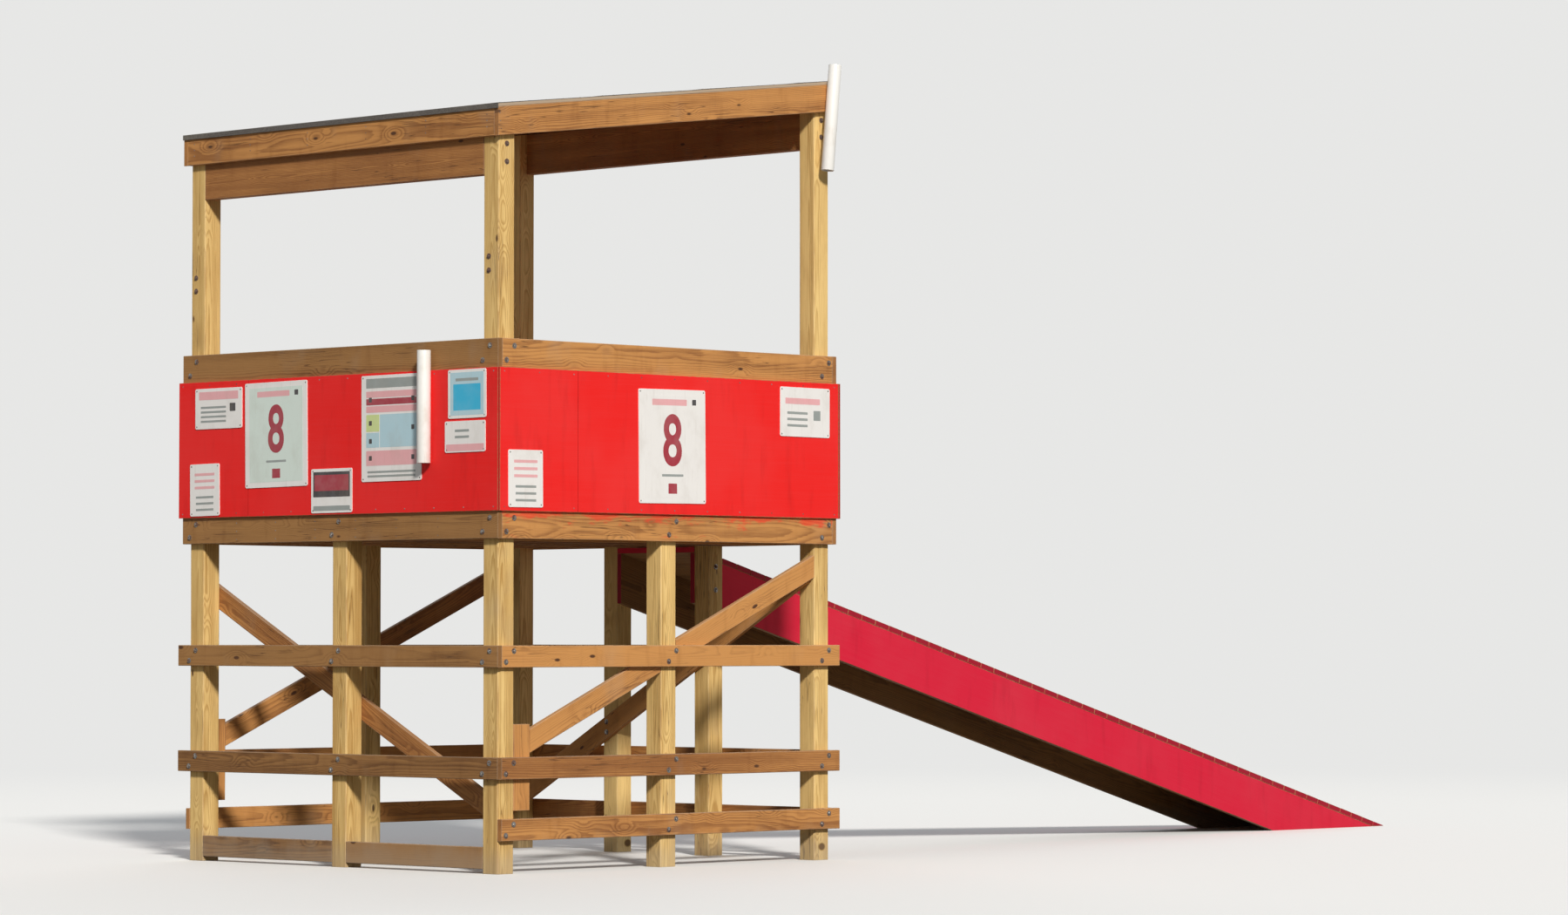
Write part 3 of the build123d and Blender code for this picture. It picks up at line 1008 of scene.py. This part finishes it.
SEATED_WITHIN = 0.004
CROSSING_FROM_END = 0.02
CROSSING_BOLTS_ASIDE = 0.034
BRACE_BOLTS_UP = 0.036
PAIRED_BOLT_HEIGHTS = (3.84, 3.93)
PAIRED_BOLTS_ASIDE = 0.02
HEADER_BOLT_DROPS = (0.055, 0.17)
RAMP_BOLT_DROPS = (0.10, 0.26)
HEAD_CHAMFER = 0.0022
SCREW_FROM_END = 0.005
LEAST_HALF_WIDTH = 0.05
DECK_SCREW_INSET = 0.028
RAMP_SCREW_INSET = 0.03
PANEL_SCREW_PITCH = 0.3
PANEL_SCREW_INSETS = (0.04, 0.026)
RIM_NAIL_HEIGHTS = (0.025, 0.08, 0.135)
FASCIA_NAIL_HEIGHTS = (0.06, 0.10, 0.14)
BARGE_NAIL_LIFTS = (-0.05, 0.0, 0.05)
BARGE_NAIL_INSET = 0.03
CLOUT_INSET = 0.022
CLOUTS_OVER_EAVES = 0.02
CLOUTS_OVER_LAP = 0.03
CLOUT_PITCHES = (0.12, 0.15)
HEAD_SIDES = 10


def facing(place, outward, turn=0.0):
    """A place whose own +Z points outward."""
    turned = outward.to_track_quat("Z", "Y").to_matrix().to_4x4() @ Matrix.Rotation(turn, 4, "Z")
    return Matrix.Translation(place) @ turned


def add_disc(mesh, at, start, depth, radius, top_radius, sides):
    """A short round or many-sided solid that starts some way off its place."""
    return bmesh.ops.create_cone(
        mesh, cap_ends=True, segments=sides, radius1=radius, radius2=top_radius, depth=depth,
        matrix=at @ Matrix.Translation((0, 0, start + depth / 2)),
    )["verts"]


def add_bolt(mesh, place, outward, turn):
    """A hexagon head on a round washer."""
    fixings = look().fixings
    at = facing(place, outward, turn)
    thick, high = fixings.washer_thick, fixings.bolt_high
    add_disc(mesh, at, 0, thick, fixings.washer_radius, fixings.washer_radius * 0.96, 20)
    radius = fixings.bolt_across / 2 / cos(pi / 6)
    top = [
        edge for vert in add_disc(mesh, at, thick, high, radius, radius, 6) for edge in vert.link_edges
        if all((at.inverted() @ end.co).z > thick + high * 0.9 for end in edge.verts)
    ]
    round_edges(mesh, list(dict.fromkeys(top)), HEAD_CHAMFER, 1)


def add_head(mesh, place, outward, radius, driven=False):
    """A low round head, with a square drive in it where it is a screw."""
    proud = look().fixings.proud
    head = add_disc(mesh, facing(place, outward), 0, proud, radius, radius * 0.82, HEAD_SIDES)
    if driven:
        faces = {face for vert in head for face in vert.link_faces}
        top = [face for face in faces if len(face.verts) == HEAD_SIDES and face.normal.dot(outward) > 0.9]
        bmesh.ops.inset_individual(mesh, faces=top, thickness=radius * 0.5, depth=-proud * 0.8)


def bolt_lifts(node, board):
    """Where the two bolts of a crossing lie across a board, clear of the guard panels."""
    low, high = -board.half.y, board.half.y
    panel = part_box("panel_land")
    if node.startswith("rim_"):
        high = panel[0].z - board.middle.z
    if node.startswith("top_rail_"):
        low = panel[1].z - board.middle.z
    return [sign(board.across.z) * (low + (high - low) * part) for part in (0.25, 0.75)]


def barge_bottom(y):
    """Height of the barge boards' lower edge."""
    board = boards_of("barge_boards")[0]
    return board.middle.z + (y - board.middle.y) * roof_slope() - board.half.y / abs(board.along.y)


def post_crossings(node):
    """Places where a board lies flat on a post: (board, distance along it, outward direction)."""
    found = []
    for board in boards_of(node):
        flat = Vector((board.along.x, board.along.y, 0))
        if flat.length < 0.1:
            continue
        for post in POSTS:
            low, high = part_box(post)
            centre = middle_of(post)
            distance = (centre - board.middle).dot(flat) / flat.length_squared
            place = board.at(distance)
            beside = (centre - place).dot(board.through)
            seated = abs(abs(beside) - (high.x - low.x) / 2 - board.half.z) < SEATED_WITHIN
            if seated and abs(distance) < board.half.x - CROSSING_FROM_END and low.z < place.z < high.z:
                found.append((board, distance, board.through * -sign(beside)))
    return found


def side_bolts(mesh, dice, post, heights):
    """Bolts in a post's outer left or right face."""
    side = sign(middle_of(post).x)
    for height in heights:
        place = Vector((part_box(post)[side > 0].x, middle_of(post).y, height))
        add_bolt(mesh, place, Vector((side, 0, 0)), dice.uniform(0, pi))


def make_bolts():
    """Bolts at the crossings, the headers and the ramp's posts, and a pair in each landward post."""
    bright, dark = bmesh.new(), bmesh.new()
    dice = Random("bolts")
    for node in LOWER_FRAME + GUARD_RAILS:
        for board, distance, outward in post_crossings(node):
            for side, lift in zip((-1, 1), bolt_lifts(node, board)):
                place = board.on_face(outward, distance + side * CROSSING_BOLTS_ASIDE, lift)
                if node.startswith("brace_"):
                    place = board.on_face(outward, distance) + Vector((0, 0, side * BRACE_BOLTS_UP))
                add_bolt(bright, place, outward, dice.uniform(0, pi))
    for post in [name for name in named("post_") if "middle" not in name]:
        middle = middle_of(post)
        side_bolts(dark, dice, post, [barge_bottom(middle.y) - drop for drop in HEADER_BOLT_DROPS])
        for height in PAIRED_BOLT_HEIGHTS if "land" in post else ():
            place = Vector((middle.x - PAIRED_BOLTS_ASIDE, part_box(post)[0].y, height))
            add_bolt(dark, place, Vector((0, -1, 0)), 0.3)
    ramp_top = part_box("ramp_stringer_right")[1].z
    for post in named("ramp_post_"):
        side_bolts(bright, dice, post, [ramp_top - drop for drop in RAMP_BOLT_DROPS])
    finished("frame_bolts", bright, [galvanised_steel()])
    finished("post_bolts", dark, [material("rusted steel", steel_surface, 0.8)])


def board_screws(mesh, planks, supports, inset):
    """Two screws through each plank over each support, in the plane of the planks' upper faces."""
    whole = planks[len(planks) // 2]
    up = whole.through * sign(whole.through.z)
    plane = whole.middle.dot(up) + whole.half.z
    for plank in planks:
        for x in supports:
            along = (x - plank.middle.x) * sign(plank.along.x)
            if abs(along) > plank.half.x - SCREW_FROM_END:
                continue
            for side in (-1, 1):
                place = plank.at(along, side * (plank.half.y - inset))
                add_head(mesh, place + up * (plane - place.dot(up)), up, look().fixings.screw_radius, True)


def panel_screws(mesh, sheet):
    """A row of screws along each long edge of a guard panel."""
    outward = sheet.through * sign(sheet.through.dot(sheet.middle - tower_middle()))
    count = max(2, round(2 * sheet.half.x / PANEL_SCREW_PITCH))
    from_end, from_edge = PANEL_SCREW_INSETS
    for step in range(count + 1):
        for side in (-1, 1):
            lift = side * (sheet.half.y - from_edge) * sign(sheet.across.z)
            place = sheet.on_face(outward, (sheet.half.x - from_end) * (2 * step / count - 1), lift)
            add_head(mesh, place, outward, look().fixings.screw_radius, True)


def make_screws():
    """Screws through the deck, the whole boards of the ramp and the guard panels."""
    mesh = bmesh.new()
    supports = [joist.middle.x for joist in boards_of("floor_joists")]
    supports += [middle_of(rim).x for rim in ("rim_left", "rim_right")]
    board_screws(mesh, boards_of("deck_planks"), supports, DECK_SCREW_INSET)
    ramp = [plank for plank in boards_of("ramp_planks") if plank.half.y > LEAST_HALF_WIDTH]
    board_screws(mesh, ramp, [middle_of(stringer).x for stringer in STRINGERS], RAMP_SCREW_INSET)
    for panel in GUARD_PANELS:
        for sheet in boards_of(panel):
            panel_screws(mesh, sheet)
    finished("screw_heads", mesh, [galvanised_steel()])


def make_nails():
    """Nails through the rims, fascias and barge boards, and the felt's clouts."""
    mesh = bmesh.new()
    radius = look().fixings.nail_radius
    for kind, carried, heights in (
        ("rim", "floor_joists", RIM_NAIL_HEIGHTS), ("fascia", "rafters", FASCIA_NAIL_HEIGHTS)
    ):
        for side, name in ((-1, kind + "_land"), (1, kind + "_sea")):
            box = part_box(name)
            for board in boards_of(carried):
                for height in heights:
                    place = Vector((board.middle.x, box[side > 0].y, box[0].z + height))
                    add_head(mesh, place, Vector((0, side, 0)), radius)
    for barge in boards_of("barge_boards"):
        outward = Vector((sign(barge.middle.x), 0, 0))
        for end in (-1, 1):
            for lift in BARGE_NAIL_LIFTS:
                place = barge.on_face(outward, end * (barge.half.x - BARGE_NAIL_INSET), lift)
                add_head(mesh, place, outward, radius)
    add_clouts(mesh)
    finished("nail_heads", mesh, [galvanised_steel()])


def add_clouts(mesh):
    """Broad-headed nails along the felt's edges and laps."""
    low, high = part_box("roofing")
    up = Vector((0, -roof_slope(), 1)).normalized()
    left, right = low.x + CLOUT_INSET, high.x - CLOUT_INSET
    across, down = [int(size / pitch) for size, pitch in zip(high - low, CLOUT_PITCHES)]
    rows_at = [low.y + CLOUT_INSET + CLOUTS_OVER_EAVES, high.y - CLOUT_INSET]
    rows_at += [y + CLOUTS_OVER_LAP for y in felt_laps()]
    places = [(left + (right - left) * step / across, y) for y in rows_at for step in range(across + 1)]
    places += [(x, low.y + (high.y - low.y) * step / down) for x in (left, right) for step in range(1, down)]
    for x, y in places:
        add_head(mesh, Vector((x, y, felt_height(y))), up, look().fixings.clout_radius)


class TOWER_OT_fixings(bpy.types.Operator):
    """Add the bolts, screws and nails"""
    bl_idname = "tower.fixings"
    bl_label = "Fixings"

    def execute(self, context):
        make_bolts()
        make_screws()
        make_nails()
        return {"FINISHED"}


# Plates on the guard panels. Their marks are plain bars, fields and a numeral.
# A mark is its ink and its left, bottom, right and top edge as shares of the plate.

INKS = ("white", "mint", "pink", "crimson", "grey", "black", "blue", "cyan", "lime")
PLATE_SCREW_INSET = 0.016
PLATE_SCREW_RADIUS = 0.0055
PLATE_TILT = 0.7

# The numeral: its height and lift are shares of the plate's height, its width is a share of its height
NUMERAL = "8"
NUMERAL_TALL = 0.46
NUMERAL_UP = 0.055
NUMERAL_WIDE = 0.50
NUMERAL_WEIGHT = 0.018


def rows(ink, left, right, bottom, top, count, fill=0.5):
    """Evenly spaced bars of small print."""
    pitch = (top - bottom) / count
    starts = [bottom + pitch * step for step in range(count)]
    return [(ink, left, start, right, start + pitch * fill) for start in starts]


def spots(ink, places, size):
    """Small squares, each about its centre."""
    return [(ink, x - size[0] / 2, y - size[1] / 2, x + size[0] / 2, y + size[1] / 2) for x, y in places]


def number_marks(field):
    marks = [(field, 0.07, 0.05, 0.93, 0.95)]
    marks += rows("pink", 0.2, 0.72, 0.86, 0.92, 1, 0.9)
    marks += spots("black", ((0.83, 0.89),), (0.06, 0.05))
    marks += rows("grey", 0.34, 0.66, 0.235, 0.265, 1, 0.7)
    marks += spots("crimson", ((0.5, 0.13),), (0.13, 0.09))
    return marks


SCHEDULE_MARKS = [
    ("grey", 0.08, 0.88, 0.92, 0.97), ("pink", 0.08, 0.79, 0.92, 0.85), ("crimson", 0.08, 0.72, 0.92, 0.78),
    ("pink", 0.08, 0.65, 0.92, 0.71), ("lime", 0.08, 0.47, 0.30, 0.63), ("blue", 0.31, 0.32, 0.92, 0.63),
    ("blue", 0.08, 0.32, 0.30, 0.46), ("pink", 0.08, 0.15, 0.92, 0.29),
]
SCHEDULE_MARKS += spots("black", [(0.15, y) for y in (0.77, 0.55, 0.38, 0.22)], (0.05, 0.045))
SCHEDULE_MARKS += spots("black", [(0.86, y) for y in (0.77, 0.5, 0.22)], (0.05, 0.045))
SCHEDULE_MARKS += rows("grey", 0.1, 0.9, 0.04, 0.12, 2)
NOTICE_MARKS = [("pink", 0.08, 0.72, 0.92, 0.92)] + rows("grey", 0.12, 0.66, 0.16, 0.62, 4, 0.45)
NOTICE_MARKS += spots("black", ((0.8, 0.52),), (0.12, 0.2))
SMALL_MARKS = rows("pink", 0.16, 0.84, 0.52, 0.9, 3, 0.4) + rows("grey", 0.2, 0.8, 0.1, 0.46, 3, 0.35)
WARNING_MARKS = [
    ("black", 0.05, 0.36, 0.95, 0.93), ("crimson", 0.08, 0.5, 0.92, 0.86), ("grey", 0.05, 0.05, 0.95, 0.16)
]
BLUE_MARKS = [("blue", 0.06, 0.06, 0.94, 0.94), ("cyan", 0.14, 0.16, 0.86, 0.7)]
BLUE_MARKS += rows("grey", 0.2, 0.8, 0.76, 0.88, 1)
FOOT_MARKS = [("pink", 0.03, 0.04, 0.97, 0.26)] + rows("grey", 0.25, 0.6, 0.45, 0.85, 2, 0.4)
WIDE_MARKS = rows("pink", 0.1, 0.8, 0.66, 0.86, 1, 0.6) + rows("grey", 0.14, 0.55, 0.2, 0.58, 3, 0.4)
WIDE_MARKS += spots("grey", ((0.74, 0.44),), (0.14, 0.2))

# Each plate: name, panel, centre along the panel from its middle, centre height, width, height, marks
PLATES = (
    ("notice_wide", "land", -1.163, 3.037, 0.485, 0.272, NOTICE_MARKS),
    ("notice_small", "land", -1.305, 2.492, 0.305, 0.350, SMALL_MARKS),
    ("number_plate", "land", -0.570, 2.846, 0.630, 0.698, number_marks("mint")),
    ("warning_plate", "land", -0.010, 2.462, 0.404, 0.290, WARNING_MARKS),
    ("schedule_board", "land", 0.575, 2.858, 0.580, 0.690, SCHEDULE_MARKS),
    ("blue_plate", "land", 1.298, 3.056, 0.357, 0.312, BLUE_MARKS),
    ("foot_plate", "land", 1.280, 2.783, 0.380, 0.200, FOOT_MARKS),
    ("side_small", "right", -1.342, 2.513, 0.300, 0.366, SMALL_MARKS),
    ("side_number", "right", -0.026, 2.752, 0.614, 0.747, number_marks("white")),
    ("side_wide", "right", 1.232, 3.015, 0.480, 0.332, WIDE_MARKS),
)


def panel_face(side):
    """A place in the middle of a panel's outer face: its own X runs to the right, Y up and Z outwards."""
    low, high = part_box("panel_" + side)
    middle = middle_of("panel_" + side)
    upright = Matrix.Rotation(radians(90), 4, "X")
    if side == "land":
        return Matrix.Translation((middle.x, low.y, 0)) @ upright
    return Matrix.Translation((high.x, middle.y, 0)) @ Matrix.Rotation(radians(90), 4, "Z") @ upright


def add_slab(mesh, low, high, ink, corner):
    """A thin slab between two corners, with its upright edges rounded."""
    size = Vector(high) - Vector(low)
    place = Matrix.Translation((Vector(low) + Vector(high)) / 2) @ Matrix.Diagonal((*size, 1))
    made = bmesh.ops.create_cube(mesh, size=1.0, matrix=place)["verts"]
    for face in {face for vert in made for face in vert.link_faces}:
        face.material_index = INKS.index(ink)
    edges = dict.fromkeys(edge for vert in made for face in vert.link_faces for edge in face.edges)
    upright = [edge for edge in edges if abs(edge.verts[0].co.z - edge.verts[1].co.z) > size.z / 2]
    round_edges(mesh, upright, corner, 5)


def add_numeral(mesh, height, base):
    """The numeral in crimson, narrow and heavy, a little above the plate's middle."""
    text = bpy.data.curves.new("numeral", "FONT")
    text.body = NUMERAL
    text.size = 1.0
    text.offset = NUMERAL_WEIGHT
    text.extrude = 0.5
    holder = bpy.data.objects.new("numeral", text)
    data = bpy.data.meshes.new_from_object(holder)
    numeral = bmesh.new()
    numeral.from_mesh(data)
    bpy.data.objects.remove(holder)
    bpy.data.curves.remove(text)
    merge(numeral)
    ends = [[pick(vert.co[axis] for vert in numeral.verts) for axis in range(3)] for pick in (min, max)]
    low, high = Vector(ends[0]), Vector(ends[1])
    size = high - low
    tall = height * NUMERAL_TALL
    print_thick = look().plates.print_thick
    scale = (NUMERAL_WIDE * tall / size.x, tall / size.y, print_thick / size.z)
    bmesh.ops.translate(numeral, verts=numeral.verts, vec=-(low + high) / 2)
    bmesh.ops.scale(numeral, verts=numeral.verts, vec=scale)
    bmesh.ops.translate(numeral, verts=numeral.verts, vec=(0, height * NUMERAL_UP, base + print_thick * 1.6))
    for face in numeral.faces:
        face.material_index = INKS.index("crimson")
    numeral.to_mesh(data)
    numeral.free()
    mesh.from_mesh(data)
    bpy.data.meshes.remove(data)


def make_plate(name, side, along, centre, width, height, marks):
    """A plate with its marks, a screw in each corner and a slight tilt."""
    settings = look().plates
    mesh = bmesh.new()
    base = settings.thick - settings.print_thick * 2
    add_slab(mesh, (-width / 2, -height / 2, 0), (width / 2, height / 2, base), "white", settings.corner)
    for level, (ink, left, bottom, right, top) in enumerate(marks):
        low = ((left - 0.5) * width, (bottom - 0.5) * height, base)
        lift = settings.print_thick * (1.0 + level * 0.02)
        high = ((right - 0.5) * width, (top - 0.5) * height, base + lift)
        add_slab(mesh, low, high, ink, min(0.004, (high[1] - low[1]) / 5))
    if "number" in name:
        add_numeral(mesh, height, base)
    printed = set(mesh.faces)
    for x in (-1, 1):
        for y in (-1, 1):
            place = Vector((x * (width / 2 - PLATE_SCREW_INSET), y * (height / 2 - PLATE_SCREW_INSET), base))
            add_head(mesh, place, Vector((0, 0, 1)), PLATE_SCREW_RADIUS, True)
    for face in set(mesh.faces) - printed:
        face.material_index = len(INKS)
    tilt = Matrix.Rotation(radians(Random(name).uniform(-PLATE_TILT, PLATE_TILT)), 4, "Z")
    mesh.transform(panel_face(side) @ Matrix.Translation((along, centre, 0)) @ tilt)
    inks = [material("plate " + ink, print_surface, getattr(settings, ink)) for ink in INKS]
    finished(name, mesh, inks + [galvanised_steel()])


class TOWER_OT_plates(bpy.types.Operator):
    """Make the plates on the guard panels, with plain marks and numerals"""
    bl_idname = "tower.plates"
    bl_label = "Plates"

    def execute(self, context):
        for plate in PLATES:
            make_plate(*plate)
        return {"FINISHED"}


# Stage

IMAGE_SHAPE = 1800 / 1050
FLOOR_RADIUS = 400.0
FLOOR_FADE = (9.0, 24.0)

# Each lamp: where its light comes from, its spread in degrees and its tint
LAMPS = {
    "key": ((0.76, -0.47, 0.55), 7, (1.0, 0.965, 0.91)),
    "back": ((-0.70, 0.75, 0.45), 50, (0.93, 0.96, 1.0)),
}


def seen_by(w, *kinds):
    """1 for rays of any of these kinds, 0 for others."""
    rays = w.node("ShaderNodeLightPath")
    return w.fold("MAXIMUM", [rays[f"Is {kind} Ray"] for kind in kinds])


def show(w, leave, amount, first, second):
    """Send the second shader to the output in place of the first, by an amount."""
    w.fill(leave, {"Surface": w.node("ShaderNodeMixShader", (amount, first, second))})


def make_floor():
    """A pale floor that fades into the background, darker to the light that it sends back."""
    mesh = bmesh.new()
    bmesh.ops.create_circle(mesh, cap_ends=True, segments=96, radius=FLOOR_RADIUS)
    settings = look().stage
    surface = bpy.data.materials.new("stage floor")
    surface.use_nodes = True
    nodes = surface.node_tree.nodes
    nodes.remove(nodes["Principled BSDF"])
    w = Wiring(surface.node_tree)
    seen = seen_by(w, "Camera", "Glossy")
    ground = w.node("ShaderNodeBsdfDiffuse", {"Color": w.blend(seen, settings.floor, (0.92, 0.92, 0.91))})
    haze = w.node("ShaderNodeEmission", {"Color": settings.backdrop})
    away = w.vector("LENGTH", w.object_place() * (1, 1, 0))
    show(w, nodes["Material Output"], w.band(away, *FLOOR_FADE) * seen, ground, haze)
    floor = mesh_object("stage_floor", mesh, [surface])


def make_world():
    """A cool fill light, behind a pale backdrop that only the camera and reflections see."""
    settings = look().stage
    world = bpy.data.worlds.new("studio")
    world.use_nodes = True
    bpy.context.scene.world = world
    nodes = world.node_tree.nodes
    w = Wiring(world.node_tree)
    w.fill(nodes["Background"], {"Color": (0.92, 0.96, 1.0), "Strength": settings.fill})
    shown = w.node("ShaderNodeBackground", {"Color": settings.backdrop, "Strength": 1.0})
    seen = seen_by(w, "Camera", "Glossy", "Transmission")
    show(w, nodes["World Output"], seen, Value(w, nodes["Background"]), shown)


def make_lamp(name):
    """A distant lamp: the wider its spread, the softer its shadows."""
    comes_from, spread, tint = LAMPS[name]
    lamp = bpy.data.lights.new(name, "SUN")
    lamp.energy = getattr(look().stage, name)
    lamp.angle = radians(spread)
    lamp.color = tint
    linked(name, lamp).rotation_euler = Vector(comes_from).to_track_quat("Z", "Y").to_euler()


def make_camera():
    """A camera at eye height that takes in the whole tower and its ramp."""
    settings = look().stage
    azimuth = settings.azimuth
    right = Vector((cos(azimuth), sin(azimuth), 0))
    ahead = Vector((-sin(azimuth), cos(azimuth), 0))
    eye = tower_middle() - ahead * settings.distance + Vector((0, 0, settings.eye))
    views = [Vector(corner) - eye for node in NODES for corner in product(*zip(*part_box(node)))]
    sides = [view.dot(right) / view.dot(ahead) for view in views]
    lifts = [view.z / view.dot(ahead) for view in views]
    middle = [(max(ends) + min(ends)) / 2 for ends in (sides, lifts)]
    half = [(max(ends) - min(ends)) / 2 for ends in (sides, lifts)]
    forward = (ahead + right * middle[0] + Vector((0, 0, middle[1]))).normalized()
    data = bpy.data.cameras.new("camera")
    data.lens = data.sensor_width / 2 * (1 - 2 * settings.margin) / max(half[0], half[1] * IMAGE_SHAPE)
    data.clip_start = 0.5
    data.clip_end = 3 * FLOOR_RADIUS
    camera = linked("camera", data)
    camera.location = eye
    camera.rotation_euler = (-forward).to_track_quat("Z", "Y").to_euler()
    bpy.context.scene.camera = camera


class TOWER_OT_stage(bpy.types.Operator):
    """Make the floor, the lights and the camera"""
    bl_idname = "tower.stage"
    bl_label = "Stage"

    def execute(self, context):
        make_floor()
        make_world()
        for name in LAMPS:
            make_lamp(name)
        make_camera()
        context.scene.view_settings.view_transform = "Standard"
        return {"FINISHED"}


# Add-on

LOOKS = (TimberLook, PaintLook, RoofLook, FixingLook, PlateLook, TubeLook, StageLook, TowerLook)
STEPS = (
    TOWER_OT_posts, TOWER_OT_lower_frame, TOWER_OT_deck, TOWER_OT_guard, TOWER_OT_roof, TOWER_OT_ramp,
    TOWER_OT_tubes, TOWER_OT_fixings, TOWER_OT_plates, TOWER_OT_stage,
)


class TOWER_PT_sidebar(bpy.types.Panel):
    """Lists the tower's steps and looks"""
    bl_idname = "TOWER_PT_sidebar"
    bl_label = "Watch tower"
    bl_space_type = "VIEW_3D"
    bl_region_type = "UI"
    bl_category = "Tower"

    def draw(self, context):
        for step in STEPS:
            self.layout.operator(step.bl_idname)
        for name in TowerLook.__annotations__:
            box = self.layout.box()
            box.label(text=name.capitalize())
            settings = getattr(context.scene.tower_look, name)
            for setting in type(settings).__annotations__:
                box.prop(settings, setting)


CLASSES = (*LOOKS, *STEPS, TOWER_PT_sidebar)


def register():
    for item in CLASSES:
        bpy.utils.register_class(item)
    bpy.types.Scene.tower_look = bpy.props.PointerProperty(type=TowerLook)


def unregister():
    del bpy.types.Scene.tower_look
    for item in reversed(CLASSES):
        bpy.utils.unregister_class(item)


def main():
    register()
    for step in STEPS:
        family, name = step.bl_idname.split(".")
        getattr(getattr(bpy.ops, family), name)()


if __name__ == "__main__":
    main()
